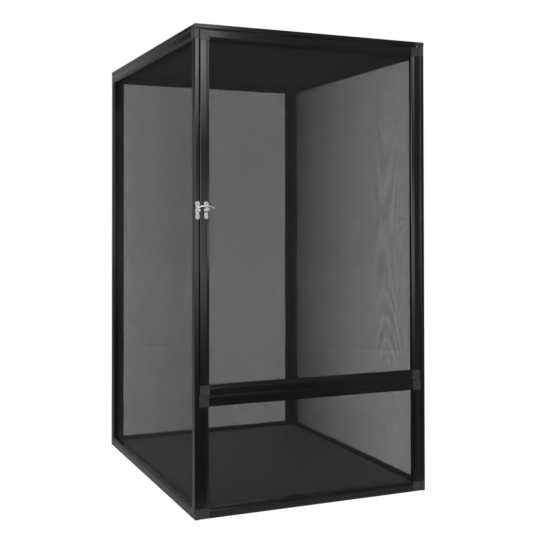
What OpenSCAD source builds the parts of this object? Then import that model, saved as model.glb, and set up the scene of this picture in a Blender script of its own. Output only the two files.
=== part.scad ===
// Tall screen terrarium: seven screened frames of hollow aluminium stock round one living space.
// The left and right frames run the full depth. The back, base and lower front frames stand between
// them, the top frame lies over them, and a hinged door closes the front above the lower frame.
// X runs to the right, Y to the back and Z up. Z = 0 is the surface that the cage stands on.

/* [Cage] */
// Width over the two side frames
cage_w = 440; // [320:10:700]
// Depth from the front face to the back face
cage_d = 500; // [320:10:700]
// Height from the ground to the top face
cage_h = 800; // [600:10:1200]
// Height of the fixed frame below the door
lower_h = 196.5; // [100:0.5:300]

/* [Frame stock] */
// Width of the stock as seen on its face
stock_w = 17; // [16:0.5:22]
// Thickness of the stock
stock_t = 8; // [7.5:0.5:10]
// Wall of the hollow chamber
wall = 0.9; // [0.7:0.1:1.1]
// Radius of the stock's two outer edges
edge_r = 1.5; // [1.4:0.1:2]
// Width of the sloping strip beside the opening
slope_w = 5; // [4:0.5:6]
// How far the sloping strip falls below the face
slope_d = 1.6; // [1:0.1:2]
// Width and depth of the groove that holds the spline
groove = 2.6; // [2.2:0.1:2.8]
// Lip between the groove and the opening
lip_w = 1.8; // [1.4:0.1:2.4]

/* [Corner blocks] */
// Length of each spigot inside its bar
spigot_len = 14; // [8:1:30]
// Gap between a spigot and the chamber
spigot_clear = 0.1; // [0.05:0.05:0.2]
// Width of the round-ended pocket on a front block
pocket_w = 8.6; // [5:0.2:9]
// Length of that pocket from the block's outer end
pocket_len = 8.8; // [6:0.2:11]
// Depth of that pocket
pocket_d = 0.8; // [0.4:0.1:1.2]

/* [Screen and floor] */
// Thickness of a screen
mesh_t = 0.5; // [0.3:0.1:1]
// Largest distance from one opening of a screen's plain grid to the next
mesh_pitch = 66; // [50:1:90]
// Width of the strip between two openings of that grid
mesh_strip = 12; // [6:1:20]
// Gap round a spline in its groove
spline_clear = 0.02; // [0.01:0.01:0.1]
// Thickness of the loose floor sheet
floor_t = 1.5; // [1:0.5:3]
// Gap round the floor sheet
floor_clear = 1; // [0.5:0.5:3]

/* [Door and hinge] */
// Gap beside the door at the latch
latch_gap = 1.2; // [0.8:0.1:1.6]
// Gap beside the door at the hinge
hinge_gap = 1; // [0.9:0.1:1.4]
// Gap above and below the door
door_gap = 1; // [0.6:0.1:1.6]
// Distance of the hinge axis from the door's front and side faces
hinge_inset = 3; // [2.8:0.1:3.2]
// Radius of a hinge pin
pin_r = 1.25; // [1:0.05:1.3]
// Running clearance of a hinge pin in the door
pin_fit = 0.05; // [0.03:0.01:0.1]
// Length of a hinge pin inside the top frame
pin_grip = 5; // [3:0.5:6]
// Length of a hinge pin inside the door
pin_reach = 9; // [5:0.5:12]
// Outer radius of the washer under the door
washer_r = 2.6; // [2:0.1:2.8]
// Running clearance above that washer
washer_clear = 0.2; // [0.1:0.05:0.3]

/* [Latch] */
// Height of the latch above the ground
latch_z = 497; // [340:1:540]
// Thickness of the two latch plates
plate_t = 1.2; // [0.8:0.1:1.6]
// Width of the strike plate on the side frame
strike_w = 8.4; // [7:0.2:8.6]
// Width of the pivot plate on the door
plate_w = 9.6; // [8:0.2:11]
// Distance from a latch plate's middle to each screw
plate_pitch = 10.6; // [9:0.2:13]
// Radius of a latch plate's two end lobes
lobe_r = 4; // [3.2:0.1:4.2]
// Distance from the strike plate's middle to the hook's pivot
latch_span = 15.2; // [14.8:0.1:15.8]
// Distance of the stud from the strike plate's middle, towards the pivot
stud_shift = 2.4; // [2.2:0.1:2.5]
// Thickness of the hook
hook_t = 2.2; // [1.6:0.1:2.6]
// Width of the hook's arm
arm_w = 2.6; // [2:0.1:3]
// Rise of the hook's arch, up to the middle of its arm
arch_rise = 7.3; // [6.9:0.1:8.6]
// Radius of the hook's eye round its pivot
eye_r = 4.2; // [3.6:0.1:4.4]
// Radius of the pivot rivet
rivet_r = 1.5; // [1.2:0.1:1.8]
// Height of the boss that carries the hook
boss_h = 1.2; // [0.9:0.1:1.6]
// Gap on each side of the hook along its pivot
hook_clear = 0.2; // [0.1:0.05:0.3]
// Thickness of the rivet's head
rivet_head_t = 1; // [0.6:0.1:1.4]
// Radius of the stud that the hook drops over
stud_r = 1.6; // [1.2:0.1:1.8]
// Gap between the hook and the stud
stud_clear = 0.5; // [0.4:0.05:0.7]
// Radius of the finger ball at the hook's tail
ball_r = 2.1; // [1.6:0.1:2.2]

/* [Screws] */
// Radius of a frame screw's shank
screw_r = 1.45; // [1.2:0.05:1.5]
// Radius of a frame screw's countersunk head
screw_head_r = 2.7; // [2.2:0.1:2.9]
// Length of a frame screw
screw_len = 20; // [14:1:23]
// Distance of a frame screw from the end of the block that it holds
screw_inset = 4; // [3.4:0.1:4.2]
// Radius of a latch screw's shank
small_screw_r = 1; // [0.8:0.05:1.1]
// Radius of a latch screw's head
small_head_r = 2; // [1.6:0.1:2.2]
// Height of a latch screw's head
small_head_h = 0.8; // [0.5:0.1:0.9]
// Length of a latch screw below its plate
small_screw_len = 6; // [4:0.5:8]
// Gap round a screw's shank in its hole
screw_fit = 0.05; // [0.02:0.01:0.1]

/* [Hidden] */
$fn = 48;
black_metal = [0.11, 0.11, 0.12];
black_plastic = [0.2, 0.2, 0.21];
black_screen = [0.16, 0.16, 0.16];
black_rubber = [0.07, 0.07, 0.07];
grey_sheet = [0.25, 0.25, 0.26];
bright_nickel = [0.82, 0.82, 0.84];
black_steel = [0.14, 0.14, 0.14];

// The stock's section
face_w = stock_w - slope_w;
nose = 0.6;
groove_hi = stock_w - lip_w;
groove_lo = groove_hi - groove;
chamber_w = groove_lo - 2 * wall;
chamber_t = stock_t - 2 * wall;

// The frames' sizes and places
rivet_top = plate_t + boss_h + hook_t + 2 * hook_clear + rivet_head_t;
hook_mid = plate_t + boss_h + hook_clear + hook_t / 2;
latch_out = max(rivet_top, hook_mid + ball_r);
y_front = -(cage_d - latch_out) / 2;
y_back = y_front + cage_d;
side_h = cage_h - stock_t;
inner_w = cage_w - 2 * stock_t;
inner_d = cage_d - 2 * stock_t;
door_w = inner_w - latch_gap - hinge_gap;
door_x = -inner_w / 2 + latch_gap;
door_z = lower_h + door_gap;
door_h = side_h - door_gap - door_z;

// The hinge axis
hinge_x = inner_w / 2 - hinge_gap - hinge_inset;
hinge_y = y_front + hinge_inset;
press_fit = 0.02;
lower_grip = stock_w - 2 * screw_inset;

// The latch: both plates are centred on the latch's height, and the pivot is on the door's plate
strike_x = -cage_w / 2 + strike_w / 2 + 0.2;
pivot_x = strike_x + latch_span;
screw_eye = small_screw_r + screw_fit;
stud_end = hook_mid + hook_t / 2 + 0.6;

// The hook in its own plane, with the pivot at the origin: an arch over the stud, then a finger tail
arch_x = -6;
arch_z = -0.6;
arch_in = latch_span - stud_shift + arch_x + stud_r + stud_clear;
arch_out = arch_in + arm_w;
tip_angle = 184;
tail_x = 1.2;
tail_z = -10.6;
tail_r = 17.9;
tail_w = 2.2;
ball_angle = 50;

// Points along an arc of radius r about c, from angle a to angle b
function arc(c, r, a, b, n = 5) =
    [for (i = [0:n]) c + r * [cos(a + (b - a) * i / n), sin(a + (b - a) * i / n)]];
// The same along an oval, r wide and rise high from its centre
function oval(c, r, rise, a, b, n) =
    [for (i = [0:n]) c + [r * cos(a + (b - a) * i / n), rise * sin(a + (b - a) * i / n)]];

// The stock's outline: first coordinate from the outer edge inwards, second from the outer face inwards
module stock_outline() {
    polygon(concat(
        arc([edge_r, edge_r], edge_r, 180, 270),
        [[face_w, 0], [stock_w - nose, slope_d], [stock_w, slope_d + nose], [stock_w, stock_t]],
        [[groove_hi, stock_t], [groove_hi, stock_t - groove], [groove_lo, stock_t - groove]],
        [[groove_lo, stock_t]],
        arc([edge_r, stock_t - edge_r], edge_r, 90, 180)));
}

// A length of hollow stock along +X, with its outer edge on Y = 0 and its outer face on Z = 0
module stock(length) {
    rotate([90, 0, 90]) linear_extrude(length) difference() {
        stock_outline();
        translate([wall, wall]) square([chamber_w, chamber_t]);
    }
}

// Turns what lies along the bottom edge of a w by h frame to another edge of it
module to_edge(side, w, h) {
    if (side == "bottom") children();
    if (side == "top") translate([0, h, 0]) mirror([0, 1, 0]) children();
    if (side == "left") mirror([1, -1, 0]) children();
    if (side == "right") translate([w, 0, 0]) mirror([1, 0, 0]) mirror([1, -1, 0]) children();
}
function edge_length(side, w, h) = (side == "left" || side == "right") ? h : w;

// One bar of a w by h frame, which ends at the corner blocks
module frame_bar(side, w, h) {
    to_edge(side, w, h) translate([stock_w, 0, 0]) stock(edge_length(side, w, h) - 2 * stock_w);
}

// A plain length as wide and thick as the stock, with the same two rounded edges
module blank() {
    rotate([90, 0, 90]) linear_extrude(stock_w) polygon(concat(
        arc([edge_r, edge_r], edge_r, 180, 270),
        [[stock_w, 0], [stock_w, stock_t]],
        arc([edge_r, stock_t - edge_r], edge_r, 90, 180)));
}

// The spigot that runs from a corner block into the bar along +X
module spigot() {
    translate([stock_w - 1, wall + spigot_clear, wall + spigot_clear])
        cube([spigot_len + 1, chamber_w - 2 * spigot_clear, chamber_t - 2 * spigot_clear]);
}

// One corner block with its two spigots, for the frame's bottom left corner
module corner_block(pocket) {
    difference() {
        intersection() {
            blank();
            mirror([1, -1, 0]) blank();
        }
        if (pocket) translate([stock_w / 2, 0, -1]) linear_extrude(pocket_d + 1) {
            translate([-pocket_w / 2, -1]) square([pocket_w, pocket_len - pocket_w / 2 + 1]);
            translate([0, pocket_len - pocket_w / 2]) circle(r = pocket_w / 2);
        }
    }
    spigot();
    mirror([1, -1, 0]) spigot();
}

// The four corner blocks of a w by h frame
module frame_corners(w, h, pocket = false) {
    for (x = [0, 1], y = [0, 1])
        translate([x * w, y * h, 0]) mirror([x, 0, 0]) mirror([0, y, 0]) corner_block(pocket);
}

// The screen of a w by h frame, laid on the lips round the opening. A plain grid of openings stands for
// its weave, with half a strip between the outer openings and the frame.
module frame_mesh(w, h) {
    edge = groove_hi + 0.2;
    nx = ceil((w - 2 * stock_w) / mesh_pitch);
    ny = ceil((h - 2 * stock_w) / mesh_pitch);
    cell = [(w - 2 * stock_w) / nx, (h - 2 * stock_w) / ny];
    translate([0, 0, stock_t]) linear_extrude(mesh_t) difference() {
        translate([edge, edge]) square([w - 2 * edge, h - 2 * edge]);
        for (i = [0:nx - 1], j = [0:ny - 1])
            translate([stock_w + i * cell[0] + mesh_strip / 2, stock_w + j * cell[1] + mesh_strip / 2])
                square([cell[0] - mesh_strip, cell[1] - mesh_strip]);
    }
}

// The four lengths of spline pressed into the grooves of a w by h frame
module frame_spline(w, h) {
    r = groove / 2 - spline_clear;
    for (side = ["bottom", "top", "left", "right"])
        to_edge(side, w, h)
            translate([stock_w, (groove_lo + groove_hi) / 2, stock_t - groove / 2])
                rotate([0, 90, 0])
                    cylinder(r = r, h = edge_length(side, w, h) - 2 * stock_w, $fn = 20);
}

// Places for the seven frames: each frame is drawn flat, outer face down, and stood up here
module at_left() { translate([-cage_w / 2, y_front, 0]) rotate([90, 0, 90]) children(); }
module at_right() { mirror([1, 0, 0]) at_left() children(); }
module at_back() { translate([-inner_w / 2, y_back, 0]) rotate([90, 0, 0]) children(); }
module at_top() { translate([-cage_w / 2, y_front, cage_h]) mirror([0, 0, 1]) children(); }
module at_base() { translate([-inner_w / 2, y_front + stock_t, 0]) children(); }
module at_front(x, z) { translate([x, y_front, z]) mirror([0, 1, 0]) rotate([90, 0, 0]) children(); }
module at_lower() { at_front(-inner_w / 2, 0) children(); }
module at_door() { at_front(door_x, door_z) children(); }

// A countersunk frame screw, head at the origin and shank down -Z; grow widens it into its hole
module frame_screw(grow = 0) {
    r = screw_r + grow;
    head = screw_head_r + grow;
    rotate_extrude() polygon([[0, grow], [head, grow], [head, -0.3], [r, -0.3 - head + r],
        [r, -screw_len - grow], [0, -screw_len - grow]]);
}

// Where the frame screws go on the outer face of a side frame, as along the face and up it
side_screw_places = [
    [stock_t / 2, stock_w - screw_inset - 1],
    [stock_t + screw_inset + 0.5, stock_t / 2],
    [stock_t / 2, lower_h - stock_w + screw_inset],
    [cage_d - stock_t / 2, stock_w - screw_inset - 1],
    [cage_d - stock_t - screw_inset - 0.5, stock_t / 2],
    [cage_d - stock_t / 2, side_h - stock_w + screw_inset + 1]];
module left_screws(grow = 0) {
    at_left() for (p = side_screw_places) translate([p.x, p.y, 0]) mirror([0, 0, 1]) frame_screw(grow);
}
module all_side_screws(grow = 0) {
    left_screws(grow);
    mirror([1, 0, 0]) left_screws(grow);
}
module all_top_screws(grow = 0) {
    for (x = [-1, 1], y = [y_front + stock_w / 2, y_back - stock_w / 2])
        translate([x * (cage_w - stock_t) / 2, y, cage_h]) frame_screw(grow);
}

// The left or right frame's part, drilled for the frame screws
module drilled() {
    difference() {
        children();
        all_side_screws(screw_fit);
        all_top_screws(screw_fit);
    }
}

// The bore for a hinge pin of radius r, from z upwards
module hinge_bore(r, z, length) { translate([hinge_x, hinge_y, z]) cylinder(r = r, h = length, $fn = 32); }

// A small domed screw with its head's underside on the origin and its shank down -Z
module small_screw() {
    dome = [for (i = [0:4]) [small_head_r * cos(22.5 * i), small_head_h * (0.35 + 0.65 * sin(22.5 * i))]];
    rotate_extrude($fn = 32) polygon(concat([[0, -small_screw_len], [small_screw_r, -small_screw_len],
        [small_screw_r, 0], [small_head_r, 0]], dome));
}

// Turns what is drawn flat in X and Y to stand on the front face at x, at the latch's height
module on_front(x) { translate([x, y_front, latch_z]) rotate([90, 0, 0]) children(); }
module at_screw_places() { for (s = [-1, 1]) translate([0, s * plate_pitch]) children(); }

// A latch plate's outline: a round middle of radius mid, two end lobes, the waists between them and a
// blunt point below
module plate_outline(mid) {
    circle(r = mid);
    translate([0, plate_pitch]) circle(r = lobe_r);
    translate([0, -plate_pitch]) circle(r = 0.9 * lobe_r);
    translate([0, -plate_pitch - 0.3]) rotate([0, 0, 45]) square(1.45 * lobe_r, center = true);
    square([1.4 * lobe_r, 2 * plate_pitch], center = true);
}
module latch_plate(mid) {
    difference() {
        linear_extrude(plate_t) plate_outline(mid);
        at_screw_places() translate([0, 0, -1]) cylinder(r = screw_eye, h = plate_t + 2);
    }
}

// The two holes that the latch screws need in the bar behind a plate
module plate_pilots(x) {
    on_front(x) at_screw_places() translate([0, 0, -small_screw_len - 1])
        cylinder(r = screw_eye, h = small_screw_len + 2);
}

// Left side frame
module left_front_bar() {
    color(black_metal) difference() {
        drilled() at_left() frame_bar("left", cage_d, side_h);
        plate_pilots(strike_x);
    }
}
module left_rear_bar() { color(black_metal) at_left() frame_bar("right", cage_d, side_h); }
module left_top_bar() { color(black_metal) at_left() frame_bar("top", cage_d, side_h); }
module left_bottom_bar() { color(black_metal) at_left() frame_bar("bottom", cage_d, side_h); }
module left_corners() { color(black_plastic) drilled() at_left() frame_corners(cage_d, side_h); }
module left_mesh() { color(black_screen) at_left() frame_mesh(cage_d, side_h); }
module left_spline() { color(black_rubber) at_left() frame_spline(cage_d, side_h); }

// Right side frame
module right_front_bar() { color(black_metal) drilled() at_right() frame_bar("left", cage_d, side_h); }
module right_rear_bar() { color(black_metal) at_right() frame_bar("right", cage_d, side_h); }
module right_top_bar() { color(black_metal) at_right() frame_bar("top", cage_d, side_h); }
module right_bottom_bar() { color(black_metal) at_right() frame_bar("bottom", cage_d, side_h); }
module right_corners() { color(black_plastic) drilled() at_right() frame_corners(cage_d, side_h); }
module right_mesh() { color(black_screen) at_right() frame_mesh(cage_d, side_h); }
module right_spline() { color(black_rubber) at_right() frame_spline(cage_d, side_h); }

// Back frame
module back_left_bar() { color(black_metal) at_back() frame_bar("left", inner_w, side_h); }
module back_right_bar() { color(black_metal) at_back() frame_bar("right", inner_w, side_h); }
module back_top_bar() { color(black_metal) at_back() frame_bar("top", inner_w, side_h); }
module back_bottom_bar() { color(black_metal) at_back() frame_bar("bottom", inner_w, side_h); }
module back_corners() { color(black_plastic) drilled() at_back() frame_corners(inner_w, side_h); }
module back_mesh() { color(black_screen) at_back() frame_mesh(inner_w, side_h); }
module back_spline() { color(black_rubber) at_back() frame_spline(inner_w, side_h); }

// Top frame
module top_left_bar() { color(black_metal) at_top() frame_bar("left", cage_w, cage_d); }
module top_right_bar() { color(black_metal) at_top() frame_bar("right", cage_w, cage_d); }
module top_rear_bar() { color(black_metal) at_top() frame_bar("top", cage_w, cage_d); }
module top_front_bar() { color(black_metal) at_top() frame_bar("bottom", cage_w, cage_d); }
module top_corners() {
    color(black_plastic) difference() {
        drilled() at_top() frame_corners(cage_w, cage_d);
        hinge_bore(pin_r + press_fit, side_h - 1, pin_grip + 1);
    }
}
module top_mesh() { color(black_screen) at_top() frame_mesh(cage_w, cage_d); }
module top_spline() { color(black_rubber) at_top() frame_spline(cage_w, cage_d); }

// Base frame and the loose floor sheet on it
module base_left_bar() { color(black_metal) at_base() frame_bar("left", inner_w, inner_d); }
module base_right_bar() { color(black_metal) at_base() frame_bar("right", inner_w, inner_d); }
module base_rear_bar() { color(black_metal) at_base() frame_bar("top", inner_w, inner_d); }
module base_front_bar() { color(black_metal) at_base() frame_bar("bottom", inner_w, inner_d); }
module base_corners() { color(black_plastic) drilled() at_base() frame_corners(inner_w, inner_d); }
module floor_sheet() {
    color(grey_sheet) at_base() translate([floor_clear, floor_clear, stock_t])
        cube([inner_w - 2 * floor_clear, inner_d - 2 * floor_clear, floor_t]);
}

// Fixed frame below the door
module lower_left_bar() { color(black_metal) at_lower() frame_bar("left", inner_w, lower_h); }
module lower_right_bar() { color(black_metal) at_lower() frame_bar("right", inner_w, lower_h); }
module lower_top_bar() { color(black_metal) at_lower() frame_bar("top", inner_w, lower_h); }
module lower_bottom_bar() { color(black_metal) at_lower() frame_bar("bottom", inner_w, lower_h); }
module lower_corners() {
    color(black_plastic) difference() {
        drilled() at_lower() frame_corners(inner_w, lower_h, true);
        hinge_bore(pin_r + press_fit, lower_h - lower_grip, lower_grip + 1);
    }
}
module lower_mesh() { color(black_screen) at_lower() frame_mesh(inner_w, lower_h); }
module lower_spline() { color(black_rubber) at_lower() frame_spline(inner_w, lower_h); }

// Door frame
module door_latch_bar() {
    color(black_metal) difference() {
        at_door() frame_bar("left", door_w, door_h);
        plate_pilots(pivot_x);
    }
}
module door_hinge_bar() { color(black_metal) at_door() frame_bar("right", door_w, door_h); }
module door_top_bar() { color(black_metal) at_door() frame_bar("top", door_w, door_h); }
module door_bottom_bar() { color(black_metal) at_door() frame_bar("bottom", door_w, door_h); }
module door_corners() {
    color(black_plastic) difference() {
        at_door() frame_corners(door_w, door_h, true);
        hinge_bore(pin_r + pin_fit, door_z + door_h - pin_reach - 0.5, pin_reach + 1.5);
        hinge_bore(pin_r + pin_fit, door_z - 1, pin_reach + 1.5);
    }
}
module door_mesh() { color(black_screen) at_door() frame_mesh(door_w, door_h); }
module door_spline() { color(black_rubber) at_door() frame_spline(door_w, door_h); }

// Hinge: a pin from the top frame into the door, a pin from the lower frame into the door, a washer
module upper_hinge_pin() {
    low = door_z + door_h - pin_reach;
    color(bright_nickel) translate([hinge_x, hinge_y, low])
        cylinder(r = pin_r, h = side_h + pin_grip - press_fit - low, $fn = 32);
}
module lower_hinge_pin() {
    low = lower_h - lower_grip + press_fit;
    color(bright_nickel) translate([hinge_x, hinge_y, low])
        cylinder(r = pin_r, h = door_z + pin_reach - low, $fn = 32);
}
module hinge_washer() {
    color(bright_nickel) translate([hinge_x, hinge_y, lower_h]) difference() {
        cylinder(r = washer_r, h = door_gap - washer_clear);
        translate([0, 0, -1]) cylinder(r = pin_r + pin_fit, h = door_gap + 2, $fn = 32);
    }
}

// Latch: the strike plate and its stud stay on the side frame, the rest rides on the door
module strike_plate() {
    color(bright_nickel) on_front(strike_x) {
        latch_plate(strike_w / 2);
        translate([stud_shift, 0, 0]) cylinder(r = stud_r, h = stud_end);
    }
}
module strike_screws() {
    color(bright_nickel) on_front(strike_x) at_screw_places() translate([0, 0, plate_t]) small_screw();
}
module pivot_plate() {
    color(bright_nickel) on_front(pivot_x) difference() {
        union() {
            latch_plate(plate_w / 2);
            cylinder(r = eye_r - 0.6, h = plate_t + boss_h);
        }
        translate([0, 0, -1]) cylinder(r = rivet_r + press_fit, h = plate_t + boss_h + 2);
    }
}
module pivot_plate_screws() {
    color(bright_nickel) on_front(pivot_x) at_screw_places() translate([0, 0, plate_t]) small_screw();
}
module pivot_rivet() {
    color(bright_nickel) on_front(pivot_x) {
        cylinder(r = rivet_r, h = rivet_top);
        translate([0, 0, rivet_top - rivet_head_t]) cylinder(r = rivet_r + 1.1, h = rivet_head_t);
    }
}

// A curved arm about c, from angle a to angle b, between the radii r and r + w
module arm(c, r, w, a, b) { polygon(concat(arc(c, r, a, b, 24), arc(c, r + w, b, a, 24))); }

// The same arm pressed flatter: the middle of its width rises to the height rise
module flat_arm(c, r, w, rise, a, b) {
    polygon(concat(oval(c, r, rise - w / 2, a, b, 24), oval(c, r + w, rise + w / 2, b, a, 24)));
}

// The hook's outline: its eye, its arch, the round end of its arch and the start of its tail
module hook_outline() {
    mid = (arch_in + arch_out) / 2;
    difference() {
        union() {
            circle(r = eye_r);
            flat_arm([arch_x, arch_z], arch_in, arm_w, arch_rise, 0, tip_angle);
            translate([arch_x + mid * cos(tip_angle), arch_z + arch_rise * sin(tip_angle)]) circle(r = arm_w / 2);
            arm([tail_x, tail_z], tail_r - tail_w / 2, tail_w, ball_angle, 108);
        }
        circle(r = rivet_r + pin_fit);
    }
}
module hook() {
    color(bright_nickel) on_front(pivot_x) {
        translate([0, 0, hook_mid - hook_t / 2]) linear_extrude(hook_t) hook_outline();
        translate([tail_x + tail_r * cos(ball_angle), tail_z + tail_r * sin(ball_angle), hook_mid])
            sphere(r = ball_r, $fn = 32);
    }
}

// Frame screws
module top_screws() { color(black_steel) all_top_screws(); }
module side_screws() { color(black_steel) all_side_screws(); }

left_front_bar();
left_rear_bar();
left_top_bar();
left_bottom_bar();
left_corners();
left_mesh();
left_spline();
right_front_bar();
right_rear_bar();
right_top_bar();
right_bottom_bar();
right_corners();
right_mesh();
right_spline();
back_left_bar();
back_right_bar();
back_top_bar();
back_bottom_bar();
back_corners();
back_mesh();
back_spline();
top_left_bar();
top_right_bar();
top_rear_bar();
top_front_bar();
top_corners();
top_mesh();
top_spline();
base_left_bar();
base_right_bar();
base_rear_bar();
base_front_bar();
base_corners();
floor_sheet();
lower_left_bar();
lower_right_bar();
lower_top_bar();
lower_bottom_bar();
lower_corners();
lower_mesh();
lower_spline();
door_latch_bar();
door_hinge_bar();
door_top_bar();
door_bottom_bar();
door_corners();
door_mesh();
door_spline();
upper_hinge_pin();
lower_hinge_pin();
hinge_washer();
strike_plate();
strike_screws();
pivot_plate();
pivot_plate_screws();
pivot_rivet();
hook();
top_screws();
side_screws();
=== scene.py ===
# %% [markdown]
# # A tall screen cage for a climbing reptile
# Seven flat frames of black stock stand round one living space. Six of them hold a screen, and the base
# holds a floor sheet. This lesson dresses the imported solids: the stock gets its rounded edges and drawn
# lines, the screens become real wires, and the latch gets a forged hook. Every size below comes from
# the solids or is a named value in metres.

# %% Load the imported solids
import math

import bpy
import bmesh
import numpy as np
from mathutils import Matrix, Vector


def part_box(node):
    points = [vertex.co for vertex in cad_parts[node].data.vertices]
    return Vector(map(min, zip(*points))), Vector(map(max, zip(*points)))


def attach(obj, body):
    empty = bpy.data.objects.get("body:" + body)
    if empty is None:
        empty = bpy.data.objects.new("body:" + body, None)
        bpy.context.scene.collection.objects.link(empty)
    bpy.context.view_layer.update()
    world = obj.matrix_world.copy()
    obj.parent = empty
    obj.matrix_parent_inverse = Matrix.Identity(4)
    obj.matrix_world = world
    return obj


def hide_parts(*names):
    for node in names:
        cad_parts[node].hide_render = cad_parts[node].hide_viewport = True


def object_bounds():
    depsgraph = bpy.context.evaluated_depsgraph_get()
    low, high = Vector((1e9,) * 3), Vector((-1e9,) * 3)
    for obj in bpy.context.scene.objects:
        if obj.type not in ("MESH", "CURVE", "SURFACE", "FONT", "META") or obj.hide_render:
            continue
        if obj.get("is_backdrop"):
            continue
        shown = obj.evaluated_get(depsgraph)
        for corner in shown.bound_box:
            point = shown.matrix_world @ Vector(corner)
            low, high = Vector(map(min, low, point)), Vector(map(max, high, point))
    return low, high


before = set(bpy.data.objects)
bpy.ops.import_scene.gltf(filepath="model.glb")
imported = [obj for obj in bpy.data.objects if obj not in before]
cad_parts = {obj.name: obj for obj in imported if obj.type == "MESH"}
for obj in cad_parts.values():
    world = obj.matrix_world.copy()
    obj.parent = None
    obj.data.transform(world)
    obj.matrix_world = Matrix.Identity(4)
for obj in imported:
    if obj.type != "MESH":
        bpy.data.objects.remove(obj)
solid_box = [list(corner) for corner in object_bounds()]
print("solids reach from", [round(v, 4) for v in solid_box[0]], "to", [round(v, 4) for v in solid_box[1]])

# %% [markdown]
# ## Where each frame stands
# The bars, wires and cords of a flat frame all run along its sides. Their places could be typed in, but
# they would go wrong as soon as a solid is resized, so they are read from the frame's four corner
# blocks. The thin axis of the blocks' box is the depth of the frame, and the other two are its width
# and its height. The outer face looks away from the living space. With these three directions, one
# function can build a bar, a cord or a wire for any frame.

# %% The seven frames, read from their corner blocks
STOCK_W, STOCK_T = 0.017, 0.008  # the stock's width and its thickness
SLOPE_W, SLOPE_D = 0.005, 0.0016  # the sloping strip beside the opening: its width and its fall
NOSE = 0.0006  # the small nose between the slope and the opening
GROOVE, LIP = 0.0026, 0.0018  # the spline's groove, and the lip between it and the opening
# The axis of each frame's depth (0, 1 and 2 are x, y and z), and the sign of its way outwards.
OUTWARD = {"left": (0, -1), "right": (0, 1), "back": (1, 1), "top": (2, 1), "base": (2, -1),
           "lower": (1, -1), "door": (1, -1)}


class Frame:
    """A flat frame: corner is its origin on the outer face, across and up its sides, inward its depth."""

    def __init__(self, name):
        lo, hi = (np.array(v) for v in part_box(name + "_corners"))
        thin, outward = OUTWARD[name]
        wide, tall = [axis for axis in range(3) if axis != thin]
        self.name = name
        self.body = "door" if name == "door" else "cage"
        self.size = (hi[wide] - lo[wide], hi[tall] - lo[tall])
        self.across, self.up = np.eye(3)[wide], np.eye(3)[tall]
        self.inward = -outward * np.eye(3)[thin]
        self.corner = lo.copy()
        self.corner[thin] = hi[thin] if outward > 0 else lo[thin]

    def place(self, x, y, z):
        """Points of the frame: corner + x along its width + y along its height + z into its depth."""
        x, y, z = np.broadcast_arrays(x, y, z)
        return (self.corner + x[..., None] * self.across + y[..., None] * self.up
                + z[..., None] * self.inward)

    def beside(self, side, run, u, v):
        """Points of one side: run along it, u from its outer edge, v from the frame's outer face."""
        width, height = self.size
        x, y = {"bottom": (run, u), "top": (run, height - u),
                "left": (u, run), "right": (width - u, run)}[side]
        return self.place(x, y, v)

    def bar_length(self, side):
        """The length of one side between its corner blocks."""
        width, height = self.size
        return (height if side in ("left", "right") else width) - 2 * STOCK_W


frames = {name: Frame(name) for name in OUTWARD}
for f in frames.values():
    print(f"{f.name:6s} {f.size[0] * 1000:6.1f} x {f.size[1] * 1000:6.1f} mm, rides on the {f.body}")

# %% [markdown]
# ## From arrays to a mesh
# A piece could be put together from stock shapes and modifiers, but then its rounding and its finish
# would not follow it. So every new piece is a grid of points: one direction runs along the piece, the
# other round it. A helper turns such grids into one mesh with its faces outwards, gives it a UV map in
# metres, and marks only the sharp turns as edges, so that the rounded ones shade smoothly.

# %% Grids of points become pieces


def grid_faces(rows, columns):
    """Quads between the rows of a grid whose last column is joined to its first one."""
    r, c = np.meshgrid(np.arange(rows - 1), np.arange(columns), indexing="ij")
    n = (c + 1) % columns
    quads = np.stack([r * columns + c, r * columns + n, (r + 1) * columns + n, (r + 1) * columns + c], -1)
    return quads.reshape(-1, 4).tolist()


def tube_faces(rows, columns):
    """The faces of a closed tube: the quads round it, and a cap over its first and its last ring."""
    last = (rows - 1) * columns
    caps = [list(range(columns))[::-1], list(range(last, last + columns))]
    return grid_faces(rows, columns) + caps


def dress(name, mesh, material, body, nodes, sharp):
    """Gives a mesh its finish, keeps only turns of more than sharp degrees crisp, and links it to a body."""
    mesh.materials.clear()
    mesh.materials.append(material)
    mesh.polygons.foreach_set("use_smooth", np.ones(len(mesh.polygons), bool))
    mesh.update()
    mesh.set_sharp_from_angle(angle=math.radians(sharp))
    piece = bpy.data.objects.new(name, mesh)
    bpy.context.scene.collection.objects.link(piece)
    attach(piece, body)
    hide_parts(*nodes)
    return piece


def make_piece(name, points, faces, material, body, nodes, slot, uv=None, sharp=35):
    """One mesh object from points (n, 3) and faces; uv gives each point its place in the finish."""
    mesh = bpy.data.meshes.new(name)
    mesh.from_pydata(np.asarray(points).reshape(-1, 3).tolist(), [], faces)
    if uv is not None:
        corner = np.empty(len(mesh.loops), np.int32)
        mesh.loops.foreach_get("vertex_index", corner)
        layer = mesh.uv_layers.new(name="along")
        layer.data.foreach_set("uv", np.asarray(uv, np.float32).reshape(-1, 2)[corner].ravel())
    return dress(name, mesh, material, body, nodes, sharp)


def outward(piece, merge=0.0):
    """Turns every closed shell's faces outwards, once points nearer than merge are made one."""
    shell = bmesh.new()
    shell.from_mesh(piece.data)
    if merge:
        bmesh.ops.remove_doubles(shell, verts=shell.verts, dist=merge)
    bmesh.ops.recalc_face_normals(shell, faces=shell.faces)
    shell.to_mesh(piece.data)
    shell.free()
    return piece


# %% [markdown]
# ## Finishes
# Black things are hard to show: a flat black hides every edge. What tells one black from another is how
# it breaks up a reflection. Drawn stock has fine lines along its length, a moulded block has a grain,
# and both carry a little dust. Painted images could hold all this, but they would blur close by. These
# effects are worked out by nodes instead: shader groups, built once and set in each finish with its own
# values.

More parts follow.
